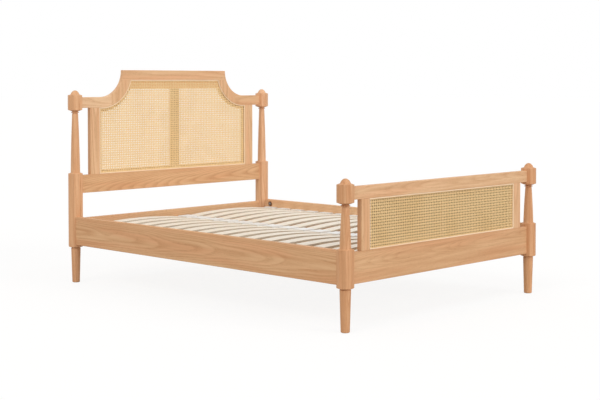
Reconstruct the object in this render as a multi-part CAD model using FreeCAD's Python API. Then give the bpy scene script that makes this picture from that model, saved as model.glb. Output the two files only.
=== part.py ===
import FreeCAD
import Part
import math
import os

# A double bed in oak with woven cane panels, in millimetres.
# X runs across the bed, Y runs from the foot to the head and Z runs up.
# The origin is on the floor under the middle of the bed.

# The mattress and the play around it.
mattress_width = 1350.0
mattress_length = 1900.0
mattress_side_gap = 15.0
mattress_end_gap = 7.5

# Play and cutting.
fit_gap = 0.2
overrun = 5.0
arris = 1.5
arris_limit_share = 0.1

# Side rails.
side_rail_thickness = 28.0
side_rail_height = 150.0
side_rail_bottom = 204.0
side_rail_outset = 21.5

# Members of the head board and the foot board.
frame_thickness = 25.0
cross_rail_height = 139.0
rail_seat = 28.0
tenon_length = 22.0
tenon_thickness = 10.0
tenon_shoulder = 12.0
stile_tenon_length = 20.0
stile_inset = 90.5

# Foot board.
foot_top_rail_bottom = 568.5
foot_top_rail_height = 57.5
foot_stile_width = 56.0
foot_muntin_width = 50.0

# Head board, whose crest comes down to the shoulders in two hollow curves.
head_lower_rail_bottom = 477.0
head_lower_rail_height = 97.0
head_stile_width = 62.0
shoulder_rail_bottom = 934.0
shoulder_rail_height = 58.0
crest_rise = 147.0
crest_inset = 316.5
crest_height = 54.0
corner_seam_inset = 65.0
head_muntin_width = 62.0
tongue_width = 30.0
tongue_length = 40.0

# Posts, each turned from one octagonal length. Round work has this many flats.
turned_sides = 24
curve_steps = 3
post_sides = 8
post_across_corners = 78.0
block_below_rail = 11.0
block_above_side_rail = 2.0
block_above_lower_rail = 9.5
cap_below_rail = 9.0
cap_above_rail = 10.0
block_end_angle = 20.0
leg_top_radius = 25.0
leg_bottom_radius = 20.0
leg_toe = 5.0
leg_groove_depth = 2.5
leg_groove_height = 4.0
spindle_bottom_radius = 25.0
spindle_top_radius = 16.0
spindle_swell = 1.0
spindle_groove_depth = 1.2
spindle_groove_height = 2.5
collar_neck_radius = 18.0
collar_neck_height = 3.0
collar_height = 7.5
collar_swell = 4.5
dome_radius = 23.5
dome_height = 19.0
dome_foot_height = 2.0

# Cane panels, each held between battens behind and beads in front. The foot one has a solid back.
bead_width = 5.5
bead_thickness = 6.5
bead_recess = 0.5
bead_chamfer = 1.5
mitre_kerf = 0.3
cane_pitch = 12.6
cane_upright_width = 6.7
cane_crossband_width = 7.5
cane_band_thickness = 1.2
cane_edge_gap = 0.6
batten_width = 21.0
batten_thickness = 12.0
head_top_batten_width = 49.0
head_muntin_thickness = 15.0
foot_back_thickness = 3.5

# Slats and what carries them.
slat_rows = 16
slat_end_distance = 61.0
slat_width = 68.0
slat_thickness = 8.0
slat_crown = 20.0
slat_play = 0.4
deck_below_rail_top = 62.0
ledger_width = 25.0
ledger_height = 35.0
ledger_end_gap = 57.5
centre_rail_width = 45.0
centre_rail_height = 70.0
centre_rail_end_gap = 1.0
holder_base = 4.0
holder_roof = 3.0
holder_wall = 4.0
holder_cheek = 3.5
side_holder_length = 42.0
centre_holder_length = 78.0

# Steel hangers of the centre rail.
hanger_sheet = 2.0
hanger_depth = 35.0
hanger_height = 52.0
hanger_flange = 20.0

# Bolts, half-moon washers and nuts of the side rails. Small round work has this many flats.
fixing_sides = 10
bolt_radius = 4.0
bolt_in_post = 40.0
bolt_past_nut = 4.0
bolt_clearance = 0.5
pocket_radius = 18.0
pocket_setback = 50.0
pocket_edge_distance = 28.0
washer_width = 18.0
washer_thickness = 5.0
nut_across_flats = 13.0
nut_height = 6.5
nut_sides = 6

# Places that follow from the sizes above.
inner_half_width = mattress_width / 2 + mattress_side_gap
inner_half_length = mattress_length / 2 + mattress_end_gap
post_x = inner_half_width + side_rail_thickness - side_rail_outset
post_y = inner_half_length + frame_thickness / 2
side_rail_x = inner_half_width + side_rail_thickness / 2
side_rail_top = side_rail_bottom + side_rail_height
side_rail_end = post_y - rail_seat
cross_rail_end = post_x - rail_seat
cross_rail_top = side_rail_bottom + cross_rail_height
post_radius = post_across_corners / 2
block_end_slope = math.tan(math.radians(block_end_angle))

stile_outer_x = post_x - stile_inset
foot_top_rail_top = foot_top_rail_bottom + foot_top_rail_height
foot_panel_half = stile_outer_x - foot_stile_width
head_lower_rail_top = head_lower_rail_bottom + head_lower_rail_height
head_panel_half = stile_outer_x - head_stile_width
shoulder_rail_top = shoulder_rail_bottom + shoulder_rail_height
crest_top = shoulder_rail_top + crest_rise
crest_bottom = crest_top - crest_height
crest_half_width = post_x - crest_inset
curve_x = crest_half_width + crest_rise
corner_seam_x = curve_x - corner_seam_inset
curve_inner_radius = crest_rise + shoulder_rail_height

block_bottom = side_rail_bottom - block_below_rail
foot_block_top = side_rail_top + block_above_side_rail
head_block_top = head_lower_rail_top + block_above_lower_rail

cane_thickness = 2 * cane_band_thickness
bead_front = bead_recess - frame_thickness / 2
cane_front = bead_front + bead_thickness
cane_back = cane_front + cane_thickness

deck = side_rail_top - deck_below_rail_top
slat_pitch = (2 * (inner_half_length - slat_end_distance) - slat_width) / (slat_rows - 1)
slat_inner_x = holder_wall / 2 + slat_play
slat_outer_x = inner_half_width - fit_gap - holder_wall - slat_play
slat_middle_x = (slat_inner_x + slat_outer_x) / 2
slat_half_span = (slat_outer_x - slat_inner_x) / 2
slat_radius = (slat_half_span ** 2 + slat_crown ** 2) / (2 * slat_crown)
slat_low = deck + holder_base + slat_play

bolt_heights = (side_rail_bottom + pocket_edge_distance, side_rail_top - pocket_edge_distance)
pocket_y = side_rail_end - pocket_setback
pocket_depth = side_rail_thickness / 2 + washer_width / 2
washer_radius = pocket_radius - 2 * fit_gap
washer_flat = washer_radius - washer_thickness

parts = {}


def point(x, y, z):
    return FreeCAD.Vector(x, y, z)


def box(x_low, x_high, y_low, y_high, z_low, z_high):
    """A block between two corners, given in any order."""
    low = point(min(x_low, x_high), min(y_low, y_high), min(z_low, z_high))
    high = point(max(x_low, x_high), max(y_low, y_high), max(z_low, z_high))
    size = high - low
    return Part.makeBox(size.x, size.y, size.z, low)


def polygon_face(points):
    return Part.Face(Part.makePolygon(points + points[:1]))


def group(shapes):
    """Separate solids kept together as one node."""
    solids = []
    for shape in shapes:
        solids.extend(shape.Solids)
    return Part.makeCompound(solids)


def mirror_x(shape):
    return shape.mirror(point(0, 0, 0), point(1, 0, 0))


def mirror_y(shape):
    return shape.mirror(point(0, 0, 0), point(0, 1, 0))


def ring(sides, radius, height):
    """The corners of a regular polygon about Z, the first one on the X axis."""
    corners = []
    for index in range(sides):
        angle = 2 * math.pi * index / sides
        corners.append(point(radius * math.cos(angle), radius * math.sin(angle), height))
    return corners


def prism(sides, radius, z_low, z_high):
    """An upright prism on a regular polygon."""
    return polygon_face(ring(sides, radius, z_low)).extrude(point(0, 0, z_high - z_low))


def rod(start, direction, length, radius, sides=fixing_sides):
    """A straight bar with flats, from a point along a direction."""
    bar = prism(sides, radius, 0, length)
    bar.Placement = FreeCAD.Placement(start, FreeCAD.Rotation(point(0, 0, 1), direction))
    return bar


def turned(profile):
    """Spins a run of (radius, height) points, from the bottom up, about Z."""
    rings = [ring(turned_sides, radius, height) for radius, height in profile]
    faces = [polygon_face(rings[0])]
    for lower, upper in zip(rings[:-1], rings[1:]):
        for index in range(turned_sides):
            after = (index + 1) % turned_sides
            corners = [lower[index], lower[after], upper[after], upper[index]]
            if corners[2].isEqual(corners[3], Part.Precision.confusion()):
                corners.pop()
            faces.append(polygon_face(corners))
    if profile[-1][0] > 0:
        faces.append(polygon_face(rings[-1]))
    return Part.Solid(Part.Shell(faces))


def curve(radius, swell, height, rise, start, end):
    """Points of a turned profile along part of an ellipse, between two angles in degrees."""
    points = []
    for index in range(curve_steps + 1):
        angle = math.radians(start + (end - start) * index / curve_steps)
        points.append((radius + swell * math.cos(angle), height + rise * math.sin(angle)))
    return points


def runs_along(axis):
    """A test for straight edges along one axis: 0 for X, 1 for Y, 2 for Z."""
    def test(edge):
        span = edge.Vertexes[-1].Point - edge.Vertexes[0].Point
        return abs(abs(span[axis]) - span.Length) < Part.Precision.confusion()
    return test


def eased(shape, wanted, *widths):
    """Takes the sharp arrises off, less where the wood is thin."""
    size = min([arris] + [width * arris_limit_share for width in widths])
    return shape.makeChamfer(size, [edge for edge in shape.Edges if wanted(edge)])


def board(x_low, x_high, y_low, y_high, z_low, z_high, axis):
    """A straight member with its four long arrises eased."""
    sizes = [abs(x_high - x_low), abs(y_high - y_low), abs(z_high - z_low)]
    across = [size for index, size in enumerate(sizes) if index != axis]
    blank = box(x_low, x_high, y_low, y_high, z_low, z_high)
    return eased(blank, runs_along(axis), *across)


def line(start, end):
    return Part.LineSegment(start, end).toShape()


def arc(start, middle, end):
    return Part.Arc(start, middle, end).toShape()


def end_drop(radius):
    """How far the coned end of a block has run on from its corners at a radius."""
    return (post_radius - radius) * block_end_slope


def block(z_low, z_high):
    """An octagonal block whose ends are turned to shallow cones."""
    tip = end_drop(0)
    reach = post_radius + overrun
    envelope = turned([
        (overrun, z_low - end_drop(overrun)),
        (reach, z_low - end_drop(reach)),
        (reach, z_high + end_drop(reach)),
        (overrun, z_high + end_drop(overrun)),
    ])
    return prism(post_sides, post_radius, z_low - tip, z_high + tip).common(envelope)


def leg_profile():
    """The tapered leg, with a softened toe and a groove under the block."""
    neck = block_bottom - end_drop(leg_top_radius)
    groove_middle = neck - leg_groove_height / 2
    toe = curve(leg_bottom_radius - leg_toe, leg_toe, leg_toe, leg_toe, -90, 0)
    groove = curve(leg_top_radius, -leg_groove_depth, groove_middle, leg_groove_height / 2, -90, 90)
    return toe + groove + [(leg_top_radius, block_bottom)]


def spindle_profile(lower_top, cap_low):
    """The tapered spindle between two blocks, with a groove and a collar at its top."""
    bottom = lower_top + end_drop(spindle_bottom_radius)
    neck_top = cap_low - end_drop(collar_neck_radius)
    collar_top = neck_top - collar_neck_height
    collar_bottom = collar_top - collar_height
    top = collar_bottom - spindle_groove_height
    points = [(spindle_bottom_radius, lower_top)]
    for index in range(curve_steps + 1):
        way = index / curve_steps
        radius = spindle_bottom_radius + (spindle_top_radius - spindle_bottom_radius) * way
        points.append((radius + spindle_swell * math.sin(math.pi * way), bottom + (top - bottom) * way))
    groove_radius = spindle_top_radius - spindle_groove_depth
    points.append((groove_radius, top))
    points.append((groove_radius, collar_bottom))
    collar_middle = (collar_bottom + collar_top) / 2
    points += curve(collar_neck_radius, collar_swell, collar_middle, collar_height / 2, -90, 90)
    points.append((collar_neck_radius, cap_low))
    return points


def dome_profile(cap_high):
    """The rounded cap on top of a post."""
    foot = cap_high + end_drop(dome_radius) + dome_foot_height
    dome = curve(0, dome_radius, foot, dome_height, 0, 90)
    dome[-1] = (0, foot + dome_height)
    return [(dome_radius, cap_high)] + dome


def grown_box(x_low, x_high, y_low, y_high, z_low, z_high):
    """A cutter for a seat that goes all round a piece with the fitting gap."""
    return box(
        min(x_low, x_high) - fit_gap, max(x_low, x_high) + fit_gap,
        min(y_low, y_high) - fit_gap, max(y_low, y_high) + fit_gap,
        min(z_low, z_high) - fit_gap, max(z_low, z_high) + fit_gap)


def cross_rail_seat(z_low, z_high):
    """Cutters for one cross rail's housing and mortise, on a post at the origin."""
    reach = post_radius + overrun
    housing = box(-reach, -rail_seat, -frame_thickness / 2 - fit_gap, frame_thickness / 2 + fit_gap,
                  z_low - fit_gap, z_high + fit_gap)
    mortise = grown_box(-rail_seat, tenon_length - rail_seat, -tenon_thickness / 2, tenon_thickness / 2,
                        z_low + tenon_shoulder, z_high - tenon_shoulder)
    return [housing, mortise]


def side_rail_seat():
    """Cutters for the side rail's housing and bolts, on a post at the origin, with the rail towards -Y."""
    reach = post_radius + overrun
    outer = side_rail_outset
    inner = side_rail_outset - side_rail_thickness
    cutters = [box(inner - fit_gap, outer + fit_gap, -reach, -rail_seat,
                   side_rail_bottom - fit_gap, side_rail_top + fit_gap)]
    for height in bolt_heights:
        start = point((outer + inner) / 2, -reach, height)
        length = reach - rail_seat + bolt_in_post + fit_gap
        cutters.append(rod(start, point(0, 1, 0), length, bolt_radius + fit_gap))
    return cutters


def post(lower_top, rails):
    """A right-hand head post at the origin; the last of its rails meets the cap block."""
    cap_low = rails[-1][0] - cap_below_rail
    cap_high = rails[-1][1] + cap_above_rail
    core = turned(leg_profile() + spindle_profile(lower_top, cap_low) + dome_profile(cap_high))
    solid = core.multiFuse([block(block_bottom, lower_top), block(cap_low, cap_high)])
    for z_low, z_high in rails:
        for cutter in cross_rail_seat(z_low, z_high):
            solid = solid.cut(cutter)
    for cutter in side_rail_seat():
        solid = solid.cut(cutter)
    return solid.removeSplitter()


def make_posts():
    head_rails = [
        (side_rail_bottom, cross_rail_top),
        (head_lower_rail_bottom, head_lower_rail_top),
        (shoulder_rail_bottom, shoulder_rail_top),
    ]
    foot_rails = [
        (side_rail_bottom, cross_rail_top),
        (foot_top_rail_bottom, foot_top_rail_top),
    ]
    head = post(head_block_top, head_rails)
    foot = mirror_y(post(foot_block_top, foot_rails))
    head.translate(point(post_x, post_y, 0))
    foot.translate(point(post_x, -post_y, 0))
    parts["head_post_right"] = head
    parts["head_post_left"] = mirror_x(head)
    parts["foot_post_right"] = foot
    parts["foot_post_left"] = mirror_x(foot)


def stile_mortises(x_low, x_high, y_middle, z, upwards):
    """A cutter for a stile's tenon, from height z up or down, on one side of the bed."""
    end = z + stile_tenon_length if upwards else z - stile_tenon_length
    return grown_box(x_low + tenon_shoulder, x_high - tenon_shoulder,
                     y_middle - tenon_thickness / 2, y_middle + tenon_thickness / 2, z, end)


def stile(x_low, x_high, y_middle, z_low, z_high):
    """An upright of a board, with a tenon at each end."""
    body = board(x_low, x_high, y_middle - frame_thickness / 2, y_middle + frame_thickness / 2, z_low, z_high, 2)
    tenon = box(x_low + tenon_shoulder, x_high - tenon_shoulder,
                y_middle - tenon_thickness / 2, y_middle + tenon_thickness / 2,
                z_low - stile_tenon_length, z_high + stile_tenon_length)
    return body.fuse(tenon).removeSplitter()


def cross_rail(y_middle, z_low, z_high):
    """A rail from post to post, with a tenon at each end."""
    body = board(-cross_rail_end, cross_rail_end, y_middle - frame_thickness / 2, y_middle + frame_thickness / 2,
                 z_low, z_high, 0)
    reach = cross_rail_end + tenon_length
    tenon = box(-reach, reach, y_middle - tenon_thickness / 2, y_middle + tenon_thickness / 2,
                z_low + tenon_shoulder, z_high - tenon_shoulder)
    return body.fuse(tenon).removeSplitter()


def cut_both_sides(shape, cutter):
    """Cuts the same seat on the right and on the left."""
    return shape.cut(cutter).cut(mirror_x(cutter))


def make_foot_board():
    y = -post_y
    lower_seat = stile_mortises(foot_panel_half, stile_outer_x, y, cross_rail_top, False)
    upper_seat = stile_mortises(foot_panel_half, stile_outer_x, y, foot_top_rail_bottom, True)
    parts["foot_lower_rail"] = cut_both_sides(cross_rail(y, side_rail_bottom, cross_rail_top), lower_seat)
    top_rail = cross_rail(y, foot_top_rail_bottom, foot_top_rail_top)
    parts["foot_top_rail"] = cut_both_sides(top_rail, upper_seat)
    right = stile(foot_panel_half, stile_outer_x, y, cross_rail_top, foot_top_rail_bottom)
    parts["foot_stile_right"] = right
    parts["foot_stile_left"] = mirror_x(right)


def on_curve(radius, height):
    """How far from the middle of the bed a shoulder curve of some radius is at a height."""
    drop = crest_top - height
    return curve_x - math.sqrt(radius ** 2 - drop ** 2)


def under_curve(radius, x):
    """How high a shoulder curve of some radius is at a distance from the middle of the bed."""
    return crest_top - math.sqrt(radius ** 2 - (curve_x - x) ** 2)


def curve_arc(radius, start_x, start_z, end_x, end_z):
    """The arc of a shoulder curve between two of its points."""
    start_angle = math.atan2(start_z - crest_top, start_x - curve_x)
    end_angle = math.atan2(end_z - crest_top, end_x - curve_x)
    if end_angle > 0:
        end_angle -= 2 * math.pi
    if start_angle > 0:
        start_angle -= 2 * math.pi
    angle = (start_angle + end_angle) / 2
    middle = point(curve_x + radius * math.cos(angle), 0, crest_top + radius * math.sin(angle))
    return arc(point(start_x, 0, start_z), middle, point(end_x, 0, end_z))


def closed_by_mirror(edges):
    """Closes a run of edges on the right with its mirror image on the left."""
    left = [mirror_x(edge) for edge in edges]
    return Part.Face(Part.Wire(Part.__sortEdges__(edges + left)))


def head_band():
    """The one outline from which the crest, the corners and the shoulders are cut."""
    outer_end = point(cross_rail_end, 0, shoulder_rail_top)
    inner_end = point(cross_rail_end, 0, shoulder_rail_bottom)
    curve_top = point(crest_half_width, 0, crest_top)
    outer_foot = point(curve_x, 0, shoulder_rail_top)
    inner_foot = point(curve_x, 0, shoulder_rail_bottom)
    inner_x = on_curve(curve_inner_radius, crest_bottom)
    inner_top = point(inner_x, 0, crest_bottom)
    edges = [
        line(point(0, 0, crest_top), curve_top),
        curve_arc(crest_rise, curve_top.x, curve_top.z, outer_foot.x, outer_foot.z),
        line(outer_foot, outer_end),
        line(outer_end, inner_end),
        line(inner_end, inner_foot),
        curve_arc(curve_inner_radius, inner_foot.x, inner_foot.z, inner_top.x, inner_top.z),
        line(inner_top, point(0, 0, crest_bottom)),
    ]
    face = closed_by_mirror(edges)
    face.translate(point(0, post_y - frame_thickness / 2, 0))
    return face.extrude(point(0, frame_thickness, 0))


def stays_in_sight(edge):
    """Whether an edge of the crest, a corner or a shoulder is an outer arris and not a seam."""
    if edge.BoundBox.YLength > fit_gap:
        return False
    middle = edge.valueAt((edge.FirstParameter + edge.LastParameter) / 2)
    from_curve = abs(math.hypot(abs(middle.x) - curve_x, middle.z - crest_top) - crest_rise)
    from_level = min(abs(middle.z - height) for height in (crest_top, shoulder_rail_top, shoulder_rail_bottom))
    return min(from_curve, from_level) < fit_gap


def cut_from(band, space):
    """One piece of the band, eased along its outside."""
    return eased(band.common(space), stays_in_sight, frame_thickness, shoulder_rail_height, crest_height)


def make_head_board():
    y = post_y
    lower_seat = stile_mortises(head_panel_half, stile_outer_x, y, head_lower_rail_top, False)
    upper_seat = stile_mortises(head_panel_half, stile_outer_x, y, shoulder_rail_bottom, True)
    parts["head_cross_rail"] = cross_rail(y, side_rail_bottom, cross_rail_top)
    lower_rail = cross_rail(y, head_lower_rail_bottom, head_lower_rail_top)
    parts["head_lower_rail"] = cut_both_sides(lower_rail, lower_seat)
    right = stile(head_panel_half, stile_outer_x, y, head_lower_rail_top, shoulder_rail_bottom)
    parts["head_stile_right"] = right
    parts["head_stile_left"] = mirror_x(right)

    band = head_band()
    y_low = y - frame_thickness
    y_high = y + frame_thickness
    above_crest = crest_top + overrun
    below_shoulder = shoulder_rail_bottom - overrun
    crest_space = box(-corner_seam_x, corner_seam_x, y_low, y_high, crest_bottom, above_crest)
    corner_space = box(0, corner_seam_x, y_low, y_high, below_shoulder, crest_bottom)
    shoulder_space = box(corner_seam_x, post_x, y_low, y_high, below_shoulder, above_crest)

    upright_x = (on_curve(crest_rise, crest_bottom) + on_curve(curve_inner_radius, crest_bottom)) / 2
    level_z = (under_curve(crest_rise, corner_seam_x) + under_curve(curve_inner_radius, corner_seam_x)) / 2
    tongues = []
    slots = []
    for x, z, x_size, z_size in (
            (upright_x, crest_bottom, tongue_width, tongue_length),
            (corner_seam_x, level_z, tongue_length, tongue_width)):
        extent = (x - x_size / 2, x + x_size / 2, y - tenon_thickness / 2, y + tenon_thickness / 2,
                  z - z_size / 2, z + z_size / 2)
        tongues.append(box(*extent))
        slots.append(grown_box(*extent))
    parts["head_frame_tongues"] = group(tongues + [mirror_x(tongue) for tongue in tongues])

    crest = cut_both_sides(cut_from(band, crest_space), slots[0])
    corner = cut_from(band, corner_space).cut(slots[0]).cut(slots[1])
    shoulder = cut_from(band, shoulder_space).cut(slots[1]).cut(upper_seat)
    tenon = box(cross_rail_end, cross_rail_end + tenon_length, y - tenon_thickness / 2, y + tenon_thickness / 2,
                shoulder_rail_bottom + tenon_shoulder, shoulder_rail_top - tenon_shoulder)
    shoulder = shoulder.fuse(tenon).removeSplitter()
    parts["head_crest_rail"] = crest
    parts["head_corner_right"] = corner
    parts["head_corner_left"] = mirror_x(corner)
    parts["head_shoulder_right"] = shoulder
    parts["head_shoulder_left"] = mirror_x(shoulder)


def head_outline(bottom_in, side_in, curve_in, top_in):
    """The head panel's outline moved inwards: its right-hand edges and its corners."""
    side = head_panel_half - side_in
    low = head_lower_rail_top + bottom_in
    high = crest_bottom - top_in
    radius = curve_inner_radius + curve_in
    top_x = on_curve(radius, high)
    edges = [line(point(0, 0, low), point(side, 0, low))]
    if side > curve_x:
        shoulder = crest_top - radius
        edges.append(line(point(side, 0, low), point(side, 0, shoulder)))
        edges.append(line(point(side, 0, shoulder), point(curve_x, 0, shoulder)))
        edges.append(curve_arc(radius, curve_x, shoulder, top_x, high))
    else:
        shoulder = under_curve(radius, side)
        edges.append(line(point(side, 0, low), point(side, 0, shoulder)))
        edges.append(curve_arc(radius, side, shoulder, top_x, high))
    edges.append(line(point(top_x, 0, high), point(0, 0, high)))
    corners = [point(side, 0, low), point(side, 0, shoulder), point(top_x, 0, high)]
    return edges, corners


def foot_outline(bottom_in, side_in, curve_in, top_in):
    """The foot panel's outline moved inwards: its right-hand edges and its corners."""
    side = foot_panel_half - side_in
    low = cross_rail_top + bottom_in
    high = foot_top_rail_bottom - top_in
    edges = [
        line(point(0, 0, low), point(side, 0, low)),
        line(point(side, 0, low), point(side, 0, high)),
        line(point(side, 0, high), point(0, 0, high)),
    ]
    return edges, [point(side, 0, low), point(side, 0, high)]


def kerf(outer, inner, thickness):
    """A thin cutter along a mitre, from the outer corner through the inner corner."""
    along = inner - outer
    along.normalize()
    across = point(-along.z, 0, along.x) * (mitre_kerf / 2)
    start = outer - along * overrun
    end = inner + along * overrun
    face = polygon_face([start - across, start + across, end + across, end - across])
    face.translate(point(0, -overrun, 0))
    return face.extrude(point(0, thickness + 2 * overrun, 0))


def mitred_ring(outline, outer_insets, inner_insets, thickness, chamfer):
    """A ring between two insets of an outline, cut at its corners into strips."""
    outer_edges, outer_corners = outline(*outer_insets)
    inner_edges, inner_corners = outline(*inner_insets)
    face = closed_by_mirror(outer_edges).cut(closed_by_mirror(inner_edges))
    strip = face.extrude(point(0, thickness, 0))
    if chamfer > 0:
        front = [edge for edge in strip.Edges if edge.BoundBox.YMax < fit_gap]
        strip = strip.makeChamfer(chamfer, front)
    for outer, inner in zip(outer_corners, inner_corners):
        strip = cut_both_sides(strip, kerf(outer, inner, thickness))
    return strip


def cane_bands(outline, half_width_at, height_at, low):
    """Upright bands in front and level bands behind, cut off just inside the outline."""
    uprights = []
    levels = []
    _, corners = outline(cane_edge_gap, cane_edge_gap, cane_edge_gap, cane_edge_gap)
    side = corners[0].x
    high = corners[-1].z
    half_band = cane_upright_width / 2
    columns = int((side - half_band) / cane_pitch)
    for index in range(-columns, columns + 1):
        x = index * cane_pitch
        top = height_at(abs(x) + half_band)
        uprights.append(box(x - half_band, x + half_band, 0, cane_band_thickness, low, top))
    half_band = cane_crossband_width / 2
    rows = int((high - low - cane_crossband_width) / cane_pitch) + 1
    first = (high + low - (rows - 1) * cane_pitch) / 2
    for index in range(rows):
        z = first + index * cane_pitch
        reach = min(half_width_at(z - half_band), half_width_at(z + half_band))
        levels.append(box(-reach, reach, cane_band_thickness, cane_thickness, z - half_band, z + half_band))
    return uprights, levels


def make_panel(name, outline, y_middle, top_batten, half_width_at, height_at, low, muntin_width,
               muntin_thickness):
    """One cane panel with its beads, its back battens and the muntin behind it."""
    gap = (fit_gap, fit_gap, fit_gap, fit_gap)
    bead_inner = (bead_width, bead_width, bead_width, bead_width)
    bead = mitred_ring(outline, gap, bead_inner, bead_thickness, min(bead_chamfer, bead_thickness / 2))
    bead.translate(point(0, y_middle + bead_front, 0))
    parts[name + "_cane_beads"] = group([bead])

    batten_inner = (batten_width, batten_width, batten_width, top_batten)
    battens = mitred_ring(outline, gap, batten_inner, batten_thickness, 0)
    battens.translate(point(0, y_middle + cane_back, 0))
    parts[name + "_back_battens"] = group([battens])

    uprights, levels = cane_bands(outline, half_width_at, height_at, low + cane_edge_gap)
    for ending, bands in (("_cane_uprights", uprights), ("_cane_crossbands", levels)):
        cane = group(bands)
        cane.translate(point(0, y_middle + cane_front, 0))
        parts[name + ending] = cane

    _, corners = outline(*batten_inner)
    z_low = corners[0].z + fit_gap
    z_high = corners[-1].z - fit_gap
    back = y_middle + cane_back
    parts[name + "_muntin"] = box(-muntin_width / 2, muntin_width / 2, back, back + muntin_thickness,
                                  z_low, z_high)


def make_panels():
    def head_half_width(z):
        radius = curve_inner_radius + cane_edge_gap
        if z < crest_top - radius:
            return head_panel_half - cane_edge_gap
        return min(on_curve(radius, z), head_panel_half - cane_edge_gap)

    def head_height(x):
        radius = curve_inner_radius + cane_edge_gap
        top = crest_bottom - cane_edge_gap
        if x < on_curve(radius, top):
            return top
        return under_curve(radius, min(x, curve_x))

    def foot_half_width(z):
        return foot_panel_half - cane_edge_gap

    def foot_height(x):
        return foot_top_rail_bottom - cane_edge_gap

    make_panel("head", head_outline, post_y, head_top_batten_width, head_half_width, head_height,
               head_lower_rail_top, head_muntin_width, head_muntin_thickness)
    make_panel("foot", foot_outline, -post_y, batten_width, foot_half_width, foot_height,
               cross_rail_top, foot_muntin_width, batten_thickness)

    reach = foot_panel_half - fit_gap
    back = cane_back + batten_thickness - post_y
    parts["foot_back_board"] = box(-reach, reach, back, back + foot_back_thickness,
                                   cross_rail_top + fit_gap, foot_top_rail_bottom - fit_gap)


def nut(start):
    """A hexagon nut that reaches from a point towards the foot of the bed."""
    corner = nut_across_flats / 2 / math.cos(math.pi / nut_sides)
    solid = rod(start, point(0, -1, 0), nut_height, corner, nut_sides)
    return solid.cut(rod(start, point(0, -1, 0), nut_height, bolt_radius + fit_gap))


def half_moon_washer(x, height):
    """The washer that fills the head end of a pocket, flat towards the nut."""
    disc = rod(point(x - washer_width / 2, pocket_y, height), point(1, 0, 0), washer_width, washer_radius)
    keep = box(x - washer_width, x + washer_width, pocket_y + washer_flat, pocket_y + pocket_radius,
               height - pocket_radius, height + pocket_radius)
    bore = rod(point(x, pocket_y, height), point(0, 1, 0), pocket_radius, bolt_radius + fit_gap)
    return disc.common(keep).cut(bore)


def make_side_rails():
    x_low = inner_half_width
    x_high = inner_half_width + side_rail_thickness
    rail = board(x_low, x_high, -side_rail_end, side_rail_end, side_rail_bottom, side_rail_top, 1)
    bolt_low = pocket_y + washer_flat - nut_height - bolt_past_nut
    bolt_high = side_rail_end + bolt_in_post
    bolts = []
    washers = []
    nuts = []
    for height in bolt_heights:
        pocket = rod(point(x_low - overrun, pocket_y, height), point(1, 0, 0), pocket_depth + overrun,
                     pocket_radius, turned_sides)
        bore = rod(point(side_rail_x, pocket_y, height), point(0, 1, 0), pocket_setback + overrun,
                   bolt_radius + bolt_clearance)
        for cutter in (pocket, bore):
            rail = rail.cut(cutter).cut(mirror_y(cutter))
        bolts.append(rod(point(side_rail_x, bolt_low, height), point(0, 1, 0), bolt_high - bolt_low,
                         bolt_radius))
        washers.append(half_moon_washer(side_rail_x, height))
        nuts.append(nut(point(side_rail_x, pocket_y + washer_flat, height)))
    parts["side_rail_right"] = rail
    parts["side_rail_left"] = mirror_x(rail)
    for name, shapes in (("rail_bolts", bolts), ("half_moon_washers", washers), ("rail_nuts", nuts)):
        right = shapes + [mirror_y(shape) for shape in shapes]
        parts[name] = group(right + [mirror_x(shape) for shape in right])


def make_ledgers():
    reach = inner_half_length - ledger_end_gap
    ledger = box(inner_half_width - ledger_width, inner_half_width, -reach, reach,
                 deck - ledger_height, deck)
    parts["slat_ledger_right"] = ledger
    parts["slat_ledger_left"] = mirror_x(ledger)


def make_centre_rail():
    reach = inner_half_length - hanger_sheet - centre_rail_end_gap
    low = deck - centre_rail_height
    half_width = centre_rail_width / 2
    parts["centre_rail"] = box(-half_width, half_width, -reach, reach, low, deck)

    inner = half_width + fit_gap
    outer = inner + hanger_sheet
    wing = outer + hanger_flange
    base_high = low - fit_gap
    base_low = base_high - hanger_sheet
    top = low + hanger_height
    y = inner_half_length
    cradle = box(-outer, outer, y - hanger_depth, y, base_low, top)
    opening = box(-inner, inner, y - hanger_depth - overrun, y + overrun, base_high, top + overrun)
    plate = box(-wing, wing, y - hanger_sheet, y, base_low, top)
    hanger = cradle.fuse(plate).cut(opening).removeSplitter()
    parts["centre_rail_hangers"] = group([hanger, mirror_y(hanger)])


def slat_underside(x):
    """The height of a bowed slat's underside at a distance from the middle of the bed."""
    return slat_low + slat_crown - slat_radius + math.sqrt(slat_radius ** 2 - (x - slat_middle_x) ** 2)


def bowed_slat():
    """One slat on the right, sprung upwards in the middle."""
    def at(x, lift):
        return point(x, -slat_width / 2, slat_underside(x) + lift)
    outline = [
        arc(at(slat_inner_x, 0), at(slat_middle_x, 0), at(slat_outer_x, 0)),
        line(at(slat_outer_x, 0), at(slat_outer_x, slat_thickness)),
        arc(at(slat_outer_x, slat_thickness), at(slat_middle_x, slat_thickness), at(slat_inner_x, slat_thickness)),
        line(at(slat_inner_x, slat_thickness), at(slat_inner_x, 0)),
    ]
    return Part.Face(Part.Wire(outline)).extrude(point(0, slat_width, 0))


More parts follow.
